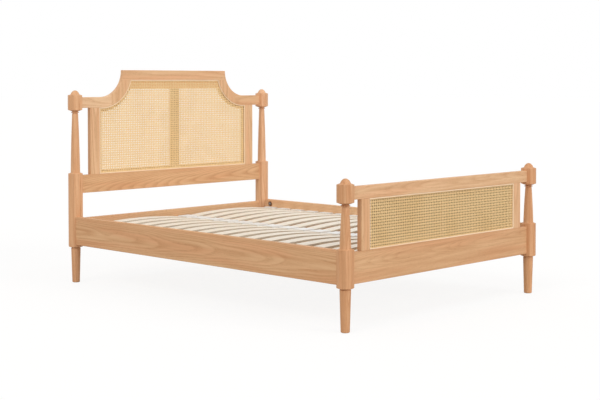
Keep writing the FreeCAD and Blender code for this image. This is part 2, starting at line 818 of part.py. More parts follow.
def make_slats():
    right_slat = bowed_slat()
    side_face = inner_half_width - fit_gap
    side_mouth = side_face - side_holder_length
    centre_mouth = centre_holder_length / 2
    slot_high = max(slat_underside(side_mouth), slat_underside(centre_mouth)) + slat_thickness + slat_play
    slot_low = deck + holder_base
    holder_top = slot_high + holder_roof
    half_slot = slat_width / 2 + slat_play
    half_holder = half_slot + holder_cheek
    side_slot = box(side_mouth - overrun, slat_outer_x + slat_play, -half_slot, half_slot, slot_low, slot_high)
    side_holder = box(side_mouth, side_face, -half_holder, half_holder, deck, holder_top).cut(side_slot)
    centre_slot = box(slat_inner_x - slat_play, centre_mouth + overrun, -half_slot, half_slot,
                      slot_low, slot_high)
    centre_blank = box(-centre_mouth, centre_mouth, -half_holder, half_holder, deck, holder_top)
    centre_holder = cut_both_sides(centre_blank, centre_slot)
    right_holders = []
    centre_holders = []
    for index in range(slat_rows):
        place = point(0, (index - (slat_rows - 1) / 2) * slat_pitch, 0)
        row = group([right_slat, mirror_x(right_slat)])
        row.translate(place)
        parts["slat_pair_%02d" % (index + 1)] = row
        right_holders.append(side_holder.translated(place))
        centre_holders.append(centre_holder.translated(place))
    parts["slat_holders_right"] = group(right_holders)
    parts["slat_holders_left"] = group([mirror_x(holder) for holder in right_holders])
    parts["slat_holders_centre"] = group(centre_holders)


def main():
    make_posts()
    make_foot_board()
    make_head_board()
    make_panels()
    make_side_rails()
    make_ledgers()
    make_centre_rail()
    make_slats()
    os.makedirs("parts", exist_ok=True)
    for name, shape in parts.items():
        shape.exportStep("parts/" + name + ".step")
    print(len(parts), "nodes", sum(len(shape.Solids) for shape in parts.values()), "solids")


main()
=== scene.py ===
"""Dresses the frame of an oak bed: turned posts, eased boards, woven cane and bowed slats."""
import math

import bmesh
import bpy
from bpy.props import FloatProperty, FloatVectorProperty, IntProperty, PointerProperty
from mathutils import Color, Euler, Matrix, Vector


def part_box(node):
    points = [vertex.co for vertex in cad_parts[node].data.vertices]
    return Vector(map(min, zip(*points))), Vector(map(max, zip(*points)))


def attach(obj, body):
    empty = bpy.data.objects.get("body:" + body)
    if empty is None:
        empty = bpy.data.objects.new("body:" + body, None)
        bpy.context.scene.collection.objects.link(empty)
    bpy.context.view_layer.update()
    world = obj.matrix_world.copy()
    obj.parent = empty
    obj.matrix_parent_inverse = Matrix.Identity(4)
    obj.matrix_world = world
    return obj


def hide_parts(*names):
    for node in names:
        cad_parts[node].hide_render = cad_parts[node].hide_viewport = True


bl_info = {
    "name": "Cane panel bed",
    "version": (1, 0, 0),
    "blender": (4, 5, 0),
    "location": "View3D > Sidebar > Bed",
    "description": "Dresses an oak bed with turned posts, woven cane panels and bowed slats",
    "category": "Add Mesh",
}

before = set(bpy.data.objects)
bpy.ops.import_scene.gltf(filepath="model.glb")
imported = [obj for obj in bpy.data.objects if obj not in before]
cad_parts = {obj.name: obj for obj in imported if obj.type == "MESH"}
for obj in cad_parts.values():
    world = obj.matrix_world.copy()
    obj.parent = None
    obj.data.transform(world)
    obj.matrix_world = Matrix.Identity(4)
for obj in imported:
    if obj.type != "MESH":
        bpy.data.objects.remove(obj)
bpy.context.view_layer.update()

BODY = "root"
AXES = {"X": Vector((1, 0, 0)), "Y": Vector((0, 1, 0)), "Z": Vector((0, 0, 1))}
SIDES = ("left", "right")
FULL_TURN = 2 * math.pi
QUARTER_TURN = math.pi / 2
# The highest level of a colour on screen.
FULL_LEVEL = 255


def tint(levels):
    """A colour in levels as on screen, from 0 to 255, turned into the values that lamps work with."""
    return tuple(Color([level / FULL_LEVEL for level in levels]).from_srgb_to_scene_linear())


def length(name, description, default):
    return FloatProperty(name=name, description=description, default=default, min=0, unit="LENGTH")


def angle(name, description, degrees):
    return FloatProperty(name=name, description=description, default=math.radians(degrees), subtype="ANGLE")


def share(name, description, default, high=1):
    return FloatProperty(name=name, description=description, default=default, min=0, max=high)


def triple(name, description, default, kind="DIRECTION"):
    return FloatVectorProperty(name=name, description=description, default=default, subtype=kind)


def count(name, description, default, low=1):
    return IntProperty(name=name, description=description, default=default, min=low)


def colour(name, description, *levels):
    return FloatVectorProperty(name=name, description=description, default=tint(levels), subtype="COLOR",
                               min=0, max=1)


class PostSizes(bpy.types.PropertyGroup):
    """Sizes of the four turned posts."""
    across_corners: length("Across corners", "Width of the octagonal blocks over their corners", 0.078)
    block_below_rail: length("Block below rail", "How far the lower block runs past the side rail", 0.011)
    block_above_side: length("Block above side rail", "How far a foot block runs past the side rail", 0.002)
    block_above_lower: length("Block above lower rail", "How far a head block tops the lower rail", 0.0095)
    cap_below_rail: length("Cap below rail", "How far the cap block hangs below its rail", 0.009)
    cap_above_rail: length("Cap above rail", "How far the cap block stands above its rail", 0.010)
    shoulder_height: length("Shoulder height", "Height of the head shoulder rail", 0.058)
    end_angle: angle("End angle", "Slope of the coned ends of a block", 20)
    leg_top: length("Leg top radius", "Radius of the leg under the block", 0.025)
    leg_bottom: length("Leg bottom radius", "Radius of the leg above its toe", 0.020)
    toe: length("Toe", "Radius of the softened edge at the floor", 0.005)
    leg_groove_depth: length("Leg groove depth", "Depth of the groove under the block", 0.0025)
    leg_groove_height: length("Leg groove height", "Height of the groove under the block", 0.004)
    spindle_bottom: length("Spindle bottom radius", "Radius of the spindle above the lower block", 0.025)
    spindle_top: length("Spindle top radius", "Radius of the spindle under its collar", 0.016)
    spindle_swell: length("Spindle swell", "How far the spindle swells in the middle", 0.001)
    spindle_groove_depth: length("Spindle groove depth", "Depth of the groove under the collar", 0.0026)
    spindle_groove_height: length("Spindle groove height", "Height of the groove under the collar", 0.0025)
    neck: length("Neck radius", "Radius between the collar and the cap block", 0.0155)
    neck_height: length("Neck height", "Height between the collar and the cap block", 0.0026)
    collar_height: length("Collar height", "Height of the half-round collar", 0.0056)
    collar_swell: length("Collar swell", "How far the collar stands out from the neck", 0.006)
    dome: length("Dome radius", "Radius of the dome at its foot", 0.0235)
    dome_height: length("Dome height", "Height of the dome on top", 0.021)
    dome_start: angle("Dome start", "Where on its arc the dome starts, from level", 24)
    facets: count("Facets", "Sides of a block", 8, 3)
    arris_steps: count("Arris steps", "Flats in a rounded corner of a block", 3)
    arris: length("Arris", "Rounding along the corners of a block", 0.0016)
    overrun: length("Overrun", "How far a cutter reaches past what it cuts", 0.005)
    round_sides: count("Round sides", "Sides of a turned form", 48, 8)
    round_steps: count("Round steps", "Rings in a rounded form", 8, 2)


class CaneSizes(bpy.types.PropertyGroup):
    """Sizes of the woven cane."""
    pitch: length("Pitch", "Distance between the middles of neighbouring bands", 0.0126)
    upright_strand: length("Upright strand", "Width of one upright strand; a band is two of them", 0.0040)
    level_strand: length("Level strand", "Width of one level strand; a band is two of them", 0.0042)
    foot_share: share("Foot share", "How wide a strand of the foot panel is beside one of the head's", 0.84)
    strand_gap: length("Strand gap", "Gap between the two strands of a band", 0.0003)
    strand_thickness: length("Strand thickness", "Thickness of one strand", 0.0010)
    edge_gap: length("Edge gap", "Distance from the cane's edge to the boards", 0.0006)
    sides: count("Sides", "Sides of a strand", 6, 4)
    smooth_angle: angle("Smooth angle", "Edges of a strand flatter than this look smooth", 67.5)


class SlatSizes(bpy.types.PropertyGroup):
    """Sizes of the bowed slats."""
    crown: length("Crown", "How far a slat rises in the middle", 0.020)
    thickness: length("Thickness", "Thickness of a slat", 0.008)
    inner_gap: length("Inner gap", "From the middle of the bed to a slat's inner end", 0.0024)
    end_play: length("End play", "Play at each end of a slat", 0.0006)
    edge: length("Edge", "Rounding along a slat", 0.0012)
    edge_steps: count("Edge steps", "Flats in a rounded edge of a slat", 2)
    edge_angle: angle("Edge angle", "Edges of a slat sharper than this are rounded", 60)
    plies: count("Plies", "Layers of veneer in a slat", 5)
    steps: count("Steps", "Stretches along a bowed slat", 14, 2)


class BoardSizes(bpy.types.PropertyGroup):
    """Easing of the boards and small parts."""
    weld: length("Weld", "Corners nearer than this become one", 0.00001)
    board_edge: length("Board edge", "Rounding of the boards' arrises", 0.0008)
    holder_edge: length("Holder edge", "Rounding of the slat holders", 0.0009)
    bead_edge: length("Bead edge", "Rounding of the beads round the cane", 0.0008)
    steel_edge: length("Steel edge", "Rounding of the steel fittings", 0.0003)
    smooth_angle: angle("Smooth angle", "Edges flatter than this look smooth", 32)
    edge_steps: count("Edge steps", "Flats in a rounded edge", 2)


class BedColours(bpy.types.PropertyGroup):
    """Colours of the bed's materials."""
    oak_pale: colour("Oak, pale", "Late wood of the oak", 229, 185, 140)
    oak_deep: colour("Oak, deep", "Early wood of the oak", 198, 143, 97)
    oak_blush: colour("Oak, blush", "Warmer streaks of the oak", 229, 170, 126)
    post_pale: colour("Posts, pale", "Late wood of the turned posts", 230, 180, 135)
    post_deep: colour("Posts, deep", "Early wood of the turned posts", 199, 138, 92)
    # The backing colours are painted shade: the dark brown that shows through the cane's holes on the wood
    # behind it.
    backing_pale: colour("Backing, pale", "Late wood behind the cane", 234, 142, 78)
    backing_shade_deep: colour("Backing, deep", "Early wood behind the cane", 212, 114, 52)
    bead_pale: colour("Bead, pale", "Late wood of the beads", 255, 232, 200)
    bead_deep: colour("Bead, deep", "Early wood of the beads", 247, 212, 174)
    cane_pale: colour("Cane, pale", "Palest strands of the cane", 254, 224, 169)
    cane_deep: colour("Cane, deep", "Darkest strands of the cane", 239, 197, 134)
    cane_green: colour("Cane, green", "Strands with a touch of green left", 239, 201, 140)
    birch_pale: colour("Birch, pale", "White-washed faces of the slats", 251, 244, 231)
    birch_deep: colour("Birch, deep", "Darker streaks of the slats", 232, 216, 192)
    ply: colour("Cross ply", "Cross plies that show in a slat's edge", 186, 160, 126)
    ply_deep: colour("Cross ply, deep", "Darker streaks of the cross plies", 150, 122, 92)
    pine_pale: colour("Pine, pale", "Early wood of the softwood", 238, 208, 166)
    pine_deep: colour("Pine, deep", "Late wood of the softwood", 206, 160, 112)
    plastic: colour("Plastic", "Slat holders", 240, 240, 238)
    steel: colour("Steel", "Zinc-plated fittings", 200, 202, 204)
    floor: colour("Floor", "Floor", 200, 198, 195)


class StudioSettings(bpy.types.PropertyGroup):
    """Camera, lamps and floor."""
    camera_place: triple("Camera place", "Where the camera stands", (-4.6456, -4.5079, 1.0775), "TRANSLATION")
    camera_turn: triple("Camera turn", "How the camera is turned",
                        (math.radians(88), 0, math.radians(-46.046)), "EULER")
    lens: FloatProperty(name="Lens", description="Focal length in millimetres", default=74.592, min=1)
    shift: FloatProperty(name="Shift", description="Upward shift of the lens", default=-0.1256)
    floor_size: length("Floor size", "Width of the floor", 120)
    floor_glow: share("Floor glow", "Share of the floor's white that needs no lamp", 0.84)
    floor_shade: share("Floor shade", "How much of the floor's light and shade the camera sees", 0.3)
    sky: share("Sky", "Even light from all around", 0.67, 10)
    lamp_spread: angle("Lamp spread", "How wide each soft lamp looks from the bed", 35)
    front_from: triple("Front lamp from", "Direction towards the front lamp", (0.3, -1, 0.4))
    front_strength: share("Front lamp", "Strength of the lamp in front of the foot", 1.1, 10)
    side_from: triple("Side lamp from", "Direction towards the side lamp", (-1, -0.15, 0.8))
    side_strength: share("Side lamp", "Strength of the lamp at the left", 0.85, 10)


def sizes(name):
    return getattr(bpy.context.scene, name)


def deselect_all():
    """Leaves nothing selected, because an operator acts on all that is."""
    bpy.ops.object.select_all(action="DESELECT")


def only(thing):
    """Selects one object and makes it the active one."""
    deselect_all()
    thing.hide_set(False)
    thing.select_set(True)
    bpy.context.view_layer.objects.active = thing


def edited(thing):
    """Opens one object for editing with all of it selected."""
    only(thing)
    bpy.ops.object.mode_set(mode="EDIT")
    bpy.ops.mesh.select_all(action="SELECT")


def done_editing():
    bpy.ops.object.mode_set(mode="OBJECT")
    return bpy.context.object


def faced_out():
    """Points all faces of the edited mesh outwards and puts its place into it."""
    bpy.ops.mesh.select_all(action="SELECT")
    bpy.ops.mesh.normals_make_consistent(inside=False)
    return settled(done_editing())


def select_parts(wanted, kind="faces"):
    """Selects the faces or edges, in edit mode, that a test accepts."""
    bpy.ops.mesh.select_all(action="DESELECT")
    mesh = bmesh.from_edit_mesh(bpy.context.object.data)
    for part in getattr(mesh, kind):
        if wanted(part):
            part.select_set(True)
    bmesh.update_edit_mesh(bpy.context.object.data)


def with_modifier(thing, kind, **values):
    """Adds one modifier and sets it."""
    modifier = thing.modifiers.new(kind.lower(), kind)
    for name, value in values.items():
        setattr(modifier, name, value)
    return modifier


def modified(thing, kind, **values):
    """Adds one modifier, sets it and applies it."""
    modifier = with_modifier(thing, kind, **values)
    only(thing)
    bpy.ops.object.modifier_apply(modifier=modifier.name)
    return thing


def combined(thing, tool, operation):
    """Joins, cuts or trims one mesh by another, which is used up."""
    modified(thing, "BOOLEAN", object=tool, operation=operation, solver="EXACT")
    bpy.data.objects.remove(tool)
    return thing


def copy_of(thing, offset=(0, 0, 0)):
    """A copy with its own mesh, moved."""
    twin = thing.copy()
    twin.data = thing.data.copy()
    bpy.context.scene.collection.objects.link(twin)
    twin.location = Vector(thing.location) + Vector(offset)
    return twin


def settled(thing):
    """Puts an object's place and size into its mesh."""
    only(thing)
    bpy.ops.object.transform_apply(location=True, rotation=True, scale=True)
    return thing


def joined(things):
    """Makes one object of several."""
    deselect_all()
    for thing in things:
        thing.select_set(True)
    bpy.context.view_layer.objects.active = things[0]
    bpy.ops.object.join()
    return settled(bpy.context.object)


def mirrored(thing):
    """A mirror image with its own mesh, on the other side of the bed."""
    twin = settled(copy_of(thing))
    twin.scale.x = -1
    edited(settled(twin))
    return faced_out()


def smoothed(thing):
    """Smooth shading that keeps hard edges and flat faces."""
    only(thing)
    bpy.ops.object.shade_smooth_by_angle(angle=sizes("board_sizes").smooth_angle)
    return modified(thing, "WEIGHTED_NORMAL", keep_sharp=True)


def dressed(thing, material):
    """Gives an object one material in place of any that it has."""
    thing.data.materials.clear()
    thing.data.materials.append(material)


def piece(thing, name, material, node):
    """Names a finished piece, dresses it and puts it on the bed in place of its node."""
    settled(thing)
    thing.name = name
    thing.data.name = name
    dressed(thing, material)
    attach(thing, BODY)
    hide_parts(node)
    return thing


def middle(node):
    low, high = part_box(node)
    return (low + high) / 2


class Nodes:
    """Adds shader nodes to one tree and links them."""

    def __init__(self, tree):
        self.tree = tree
        self.column = 0

    def add(self, kind, inputs=None, **values):
        made = self.tree.nodes.new("ShaderNode" + kind)
        self.column += 1
        made.location = (self.column * made.width, 0)
        for name, value in values.items():
            setattr(made, name, value)
        self.fill(made.inputs, inputs or {})
        return made

    def fill(self, sockets, values):
        for name, value in values.items():
            self.feed(sockets[name], value)

    def feed(self, socket, value):
        """Links another node to a socket, or sets the socket's own value."""
        if isinstance(value, bpy.types.NodeSocket):
            self.tree.links.new(value, socket)
        else:
            socket.default_value = value

    def math(self, operation, first, second=0, third=0):
        return self.add("Math", {0: first, 1: second, 2: third}, operation=operation).outputs[0]

    def vector(self, operation, first, second):
        return self.add("VectorMath", {0: first, 1: second}, operation=operation).outputs[0]

    def total(self, *parts):
        """The sum of several values, each times its share."""
        result = 0
        for value, weight in parts:
            result = self.math("MULTIPLY_ADD", value, weight, result)
        return result

    def noise(self, place, repeats, detail, roughness, output="Fac"):
        """Noise with its own number of repeats in a metre along each axis."""
        stretched = self.vector("MULTIPLY", place, repeats)
        return self.add("TexNoise", {"Vector": stretched, "Scale": 1, "Detail": detail,
                                     "Roughness": roughness}).outputs[output]

    def fade(self, value, limits, results=(0, 1)):
        """Spreads what a value does between two limits over two results, smoothly."""
        return self.add("MapRange", {"Value": value, "From Min": limits[0], "From Max": limits[1],
                                     "To Min": results[0], "To Max": results[1]},
                        interpolation_type="SMOOTHSTEP").outputs["Result"]

    def mix(self, factor, first, second, blend="MIX"):
        made = self.add("Mix", {"Factor": factor}, data_type="RGBA", blend_type=blend)
        sockets = [socket for socket in made.inputs if socket.type == "RGBA"]
        for socket, value in zip(sockets, (first, second)):
            self.feed(socket, value)
        return [socket for socket in made.outputs if socket.type == "RGBA"][0]


def blank_nodes(owner):
    """The emptied node tree of a material or a world."""
    owner.use_nodes = True
    owner.node_tree.nodes.clear()
    return Nodes(owner.node_tree)


def new_group(name, inputs, outputs):
    """An empty node group with its sockets."""
    tree = bpy.data.node_groups.new(name, "ShaderNodeTree")
    for label, kind in inputs:
        tree.interface.new_socket(name=label, in_out="INPUT", socket_type="NodeSocket" + kind)
    for label, kind in outputs:
        tree.interface.new_socket(name=label, in_out="OUTPUT", socket_type="NodeSocket" + kind)
    given = tree.nodes.new("NodeGroupInput").outputs
    result = tree.nodes.new("NodeGroupOutput").inputs
    return tree, Nodes(tree), given, result


def four(colour_value):
    return (*colour_value, 1)


def toned(colour_value, tone):
    """A colour made lighter or darker by a share, with its alpha."""
    return (*(min(1, value * tone) for value in colour_value), 1)


def wood_toned(colour_value, tone):
    """The same for wood, where a lighter board is a little paler too."""
    if tone <= 1:
        return toned(colour_value, tone)
    return (*(min(1, value * tone ** power) for value, power in zip(colour_value, PALER_POWERS)), 1)


# The boards, the pieces behind the cane and the softwood, by the axis that their grain runs along.
OAK_BY_GRAIN = {
    "X": ("foot_lower_rail", "foot_top_rail", "head_cross_rail", "head_lower_rail", "head_crest_rail",
          "head_shoulder_left", "head_shoulder_right", "head_frame_tongues"),
    "Z": ("foot_stile_left", "foot_stile_right", "head_stile_left", "head_stile_right", "head_corner_left",
          "head_corner_right"),
    "Y": ("side_rail_left", "side_rail_right"),
}
# The pieces behind the cane carry painted shade on their faces towards the cane.
BACKING_BY_GRAIN = {
    "X": ("head_back_battens", "foot_back_battens", "foot_back_board"),
    "Z": ("head_muntin", "foot_muntin"),
}
PINE_BY_GRAIN = {"Y": ("slat_ledger_left", "slat_ledger_right", "centre_rail")}
# The colours of each wood and where its figure differs from plain oak's. Ring spacings are in metres.
PLAIN_FIGURE = {"Ring Spacing": 0.006, "Ring Strength": 0.3, "Streak Strength": 0.3, "Pore Strength": 0.45,
                "Tilt": 0.02}
WOODS = {
    "oak": (("oak_pale", "oak_deep", "oak_blush"), {}),
    "post_oak": (("post_pale", "post_deep", "oak_blush"), {"Ring Spacing": 0.004, "Streak Strength": 0.55}),
    # The backing's colours are painted shade, seen through the cane.
    "backing": (("backing_pale", "backing_shade_deep", "backing_pale"), {}),
    "pine": (("pine_pale", "pine_deep", "pine_pale"), {"Ring Strength": 0.7, "Pore Strength": 0.1}),
    "bead": (("bead_pale", "bead_deep", "bead_pale"), {"Pore Strength": 0.2}),
    "birch": (("birch_pale", "birch_deep", "birch_pale"),
              {"Ring Spacing": 0.03, "Ring Strength": 0.35, "Pore Strength": 0.12}),
    "cross_plies": (("ply", "ply_deep", "ply"), {"Ring Strength": 0.2, "Pore Strength": 0.3}),
}
# Boards whose figure differs from the rest of their wood.
BOARD_FIGURES = {
    "side_rail_left": {"Tilt": 0.012, "Ring Spacing": 0.0035, "Ring Strength": 0.32, "Streak Strength": 0.45},
    "head_stile_left": {"Ring Strength": 0.5},
    "head_lower_rail": {"Tilt": 0.045, "Ring Spacing": 0.0045, "Ring Strength": 0.38, "Streak Strength": 0.4},
    "foot_lower_rail": {"Ring Spacing": 0.003, "Ring Strength": 0.18, "Streak Strength": 0.55},
    "foot_top_rail": {"Ring Spacing": 0.003, "Ring Strength": 0.18, "Streak Strength": 0.5},
}
# Which board of its log each piece is, where its place in a list doesn't say so.
POST_SEEDS = {"foot_post_left": 4, "foot_post_right": 5, "head_post_left": 7, "head_post_right": 8}
BEAD_SEED = 1
BIRCH_SEED = 2
PLY_SEED = 3
# How light each board is beside the plain oak. The low shares of the pieces behind the cane (its muntins,
# battens and back board) are painted shade.
BOARD_TONE_SHARES = {
    "foot_lower_rail": 0.97, "foot_top_rail": 1.09, "foot_stile_left": 1.04, "foot_stile_right": 1.1,
    "foot_post_left": 0.96, "foot_post_right": 0.99, "foot_back_board": 0.17, "foot_back_battens": 0.17,
    "foot_muntin": 0.17, "head_cross_rail": 1.04, "head_crest_rail": 1.07, "head_corner_left": 1.08,
    "head_corner_right": 1.06, "head_shoulder_left": 1.19, "head_shoulder_right": 1.05,
    "head_stile_left": 1.11, "head_stile_right": 1.09, "head_post_left": 1.06, "head_post_right": 1.16,
    "head_muntin": 0.45, "head_back_battens": 0.45, "side_rail_right": 1.12,
}
CANE_TONE_SHARES = {"head": 0.99, "foot": 0.98}
# How strongly red, green and blue follow the tone of a lighter board.
PALER_POWERS = (0.7, 1.4, 2.2)

# Each noise has its repeats in a metre along three axes, its detail and its roughness. A wood's first axis is
# its grain, and the strands' drift runs along a strand and from strand to strand.
DRIFT_NOISE = ((1.5, 5, 5), 2, 0.5)
STREAK_NOISE = ((1.8, 60, 60), 3, 0.6)
BLUSH_NOISE = ((1.6, 22, 22), 2, 0.5)
FIBRE_NOISE = ((16, 620, 620), 2, 0.6)
PORE_NOISE = ((50, 1300, 1300), 1, 0.5)
CANE_LINE_NOISES = {"X": ((40, 1, 900), 2, 0.6), "Z": ((900, 1, 40), 2, 0.6)}
CANE_DRIFT_NOISE = ((7, 3.7, 1), 2, 0.5)
CANE_GREEN_NOISE = ((5, 5, 5), 2, 0.5)
MOULD_NOISE = ((900, 900, 900), 2, 0.6)
CLOUD_NOISE = ((12, 12, 12), 2, 0.5)
STEEL_LINE_NOISE = ((900, 60, 900), 2, 0.6)
STEEL_SPOT_NOISE = ((140, 140, 140), 3, 0.6)
# The values of its noise or ring between which each effect fades in.
EARLY_WOOD_LIMITS = (0.1, 0.8)
RING_START_LIMITS = (0, 0.15)
MIDDLE_LIMITS = (0.3, 0.7)
SPOT_LIMITS = (0.4, 0.7)
PORE_LIMITS = (0.58, 0.7)
CANE_LINE_LIMITS = (0.35, 0.7)
CANE_GREEN_LIMITS = (0.5, 0.68)
SHEEN_LIMITS = (0.2, 0.8)
# How much of each effect shows.
BLUSH_SHARE = 0.7
FIBRE_SHARE = 0.14
STRAY_PORE_SHARE = 0.25
FIBRE_RELIEF_SHARE = 0.35
CANE_OWN_SHARE = 0.35
CANE_DRIFT_SHARE = 0.55
CANE_LINE_SHARE = 0.22
CANE_GREEN_SHARE = 0.6
CLOUD_SHARE = 0.08
# Each shader's plain values, its least and most roughness, and its relief's strength and depth in metres.
WOOD_SHADER = {"IOR": 1.45, "Specular IOR Level": 0.3}
CANE_SHADER = {"IOR": 1.5, "Coat Weight": 0.12, "Coat Roughness": 0.3}
PLASTIC_SHADER = {"IOR": 1.5}
STEEL_SHADER = {"Metallic": 1}
WOOD_ROUGHNESS = (0.46, 0.58)
CANE_ROUGHNESS = (0.34, 0.5)
PLASTIC_ROUGHNESS = (0.38, 0.5)
STEEL_ROUGHNESS = (0.26, 0.42)
WOOD_RELIEF = (0.1, 0.0004)
CANE_RELIEF = (0.15, 0.0003)
PLASTIC_RELIEF = (0.08, 0.0002)
STEEL_RELIEF = (0.1, 0.0001)
WHITE = (1, 1, 1, 1)
PORE_TINT = (0.62, 0.54, 0.46, 1)
DULL_STEEL_TINT = (0.78, 0.79, 0.82, 1)
# A noise's middle value, and how far the rings wander off a straight log, in metres.
NOISE_MIDDLE = (0.5, 0.5, 0.5)
DRIFT_REACH = (0, 0.022, 0.022)
# The wave texture has this many radians to a metre at a scale of 1.
WAVES_PER_SCALE = 20
# How deep the painted shade on a face behind the cane goes, in metres.
FACE_DEPTH = 0.001
# How boards lie in their logs, in metres: apart along the grain, off the heart, and to one side of it.
LOG_STEP = 0.37
HEART_DISTANCE = 0.075
HEART_DISTANCE_STEP = 0.012
HEART_DISTANCES = 5
HEART_SIDE_STEP = 0.018
HEART_SIDES = 4
TURN_TO_GRAIN = {"X": (0, 0, 0), "Y": (0, 0, -QUARTER_TURN), "Z": (0, QUARTER_TURN, 0)}
# A face at a slat's edge looks at least this much along the bed.
SLAT_EDGE_SHARE = 0.9
# What a strand along each axis lies across, and how the circle that it starts from is turned.
ACROSS = {"X": "Z", "Z": "X"}
STRAND_TURNS = {"X": (0, QUARTER_TURN, 0), "Z": (0, 0, 0)}
# How many repeats of the weave a band has beyond its panel, to be cut off.
SPARE_CELLS = 3


def wood_figure():
    """Growth rings, streaks, fibres and pores of a board whose grain runs along X."""
    name = "Wood figure"
    if name in bpy.data.node_groups:
        return bpy.data.node_groups[name]
    tree, made, given, result = new_group(
        name,
        (("Board", "Vector"), ("Pale", "Color"), ("Deep", "Color"), ("Blush", "Color"),
         ("Ring Spacing", "Float"), ("Ring Strength", "Float"), ("Streak Strength", "Float"),
         ("Pore Strength", "Float")),
        (("Color", "Color"), ("Roughness", "Float"), ("Height", "Float")))
    board = given["Board"]
    drift = made.vector("SUBTRACT", made.noise(board, *DRIFT_NOISE, "Color"), NOISE_MIDDLE)
    drifted = made.vector("ADD", board, made.vector("MULTIPLY", drift, DRIFT_REACH))
    ring_scale = made.math("DIVIDE", FULL_TURN / WAVES_PER_SCALE, given["Ring Spacing"])
    rings = made.add("TexWave", {"Vector": drifted, "Scale": ring_scale}, wave_type="RINGS",
                     rings_direction="X", wave_profile="SAW").outputs["Fac"]
    early = made.math("MULTIPLY", made.fade(rings, EARLY_WOOD_LIMITS, (1, 0)),
                      made.fade(rings, RING_START_LIMITS))
    streaks = made.fade(made.noise(board, *STREAK_NOISE), MIDDLE_LIMITS)
    blush = made.fade(made.noise(board, *BLUSH_NOISE), SPOT_LIMITS)
    fibres = made.noise(board, *FIBRE_NOISE)
    pores = made.fade(made.noise(board, *PORE_NOISE), PORE_LIMITS)
    pores = made.math("MULTIPLY", pores, made.math("ADD", early, STRAY_PORE_SHARE))
    pores = made.math("MULTIPLY", pores, given["Pore Strength"])
    depth = made.total((early, given["Ring Strength"]), (streaks, given["Streak Strength"]),
                       (made.fade(fibres, MIDDLE_LIMITS), FIBRE_SHARE))
    shade = made.mix(made.math("MULTIPLY", blush, BLUSH_SHARE), given["Pale"], given["Blush"])
    shade = made.mix(depth, shade, given["Deep"])
    shade = made.mix(pores, shade, made.mix(1, given["Deep"], PORE_TINT, "MULTIPLY"))
    height = made.math("SUBTRACT", made.math("MULTIPLY", fibres, FIBRE_RELIEF_SHARE), pores)
    made.fill(result, {"Color": shade, "Roughness": made.fade(fibres, SHEEN_LIMITS, WOOD_ROUGHNESS),
                       "Height": height})
    return tree


def blank_surface(name):
    """A new material, the maker of its nodes and the object's own coordinates."""
    material = bpy.data.materials.new(name)
    made = blank_nodes(material)
    return material, made, made.add("TexCoord").outputs["Object"]


def finish(made, constants, shade, rough, height, relief):
    """Ends a material in a Principled shader with plain values, a colour, a roughness and a fine relief."""
    strength, depth = relief
    normal = made.add("Bump", {"Strength": strength, "Distance": depth, "Height": height}).outputs["Normal"]
    inputs = {"Base Color": shade, "Roughness": rough, "Normal": normal, **constants}
    shader = made.add("BsdfPrincipled", inputs).outputs["BSDF"]
    made.add("OutputMaterial", {"Surface": shader})


def pith(seed):
    """Where a board's middle lies from the heart of its log: along the grain, off its face and across it."""
    distance = HEART_DISTANCE + HEART_DISTANCE_STEP * (seed % HEART_DISTANCES)
    side = seed % HEART_SIDES - (HEART_SIDES - 1) / 2
    return Vector((LOG_STEP * seed, distance, HEART_SIDE_STEP * side))


def wood_colours(kind):
    """The pale colour, the deep one and the blush of a wood."""
    return [getattr(sizes("bed_colours"), name) for name in WOODS[kind][0]]


def wood(kind, node, grain, seed, zones=()):
    """The wood of one board, cut from its own place in the log, with the grain along one axis of the bed.

    Each zone gives an axis of the bed, a place on it and the wood whose colours take over past that place.
    """
    figure = {**PLAIN_FIGURE, **WOODS[kind][1], **BOARD_FIGURES.get(node, {})}
    tilt = figure.pop("Tilt")
    material, made, place = blank_surface(kind + "_" + node)
    turn = Vector(TURN_TO_GRAIN[grain]) + Vector((0, tilt, -tilt))
    centre = middle(node)
    centre.rotate(Euler(turn))
    board = made.add("Mapping", {"Vector": place, "Rotation": turn, "Location": pith(seed) - centre})
    shades = [wood_toned(value, BOARD_TONE_SHARES.get(node, 1)) for value in wood_colours(kind)]
    for axis, start, other in zones:
        along = made.add("SeparateXYZ", {"Vector": place}).outputs[axis]
        past = made.fade(along, (start, start + FACE_DEPTH))
        shades = [made.mix(past, shade, four(value)) for shade, value in zip(shades, wood_colours(other))]
    figure.update(zip(("Pale", "Deep", "Blush"), shades))
    figure["Board"] = board.outputs["Vector"]
    seen = made.add("Group", figure, node_tree=wood_figure()).outputs
    finish(made, WOOD_SHADER, seen["Color"], seen["Roughness"], seen["Height"], WOOD_RELIEF)
    return material


def shaded_oak(kind, node, grain, seed):
    """The wood behind the cane: dark painted shade on the cane's side, lighter painted shade on the deep top
    batten, and plain oak behind.
    """
    # The face towards the cane takes painted shade; past FACE_DEPTH the back is plain oak.
    zones = [("Y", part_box(node)[0].y + FACE_DEPTH, "oak")]
    # The top batten takes the backing colours at full strength, a lighter painted shade than the side
    # battens.
    if node == "head_back_battens":
        zones.insert(0, ("Z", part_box("head_muntin")[1].z, kind))
    return wood(kind, node, grain, seed, zones)


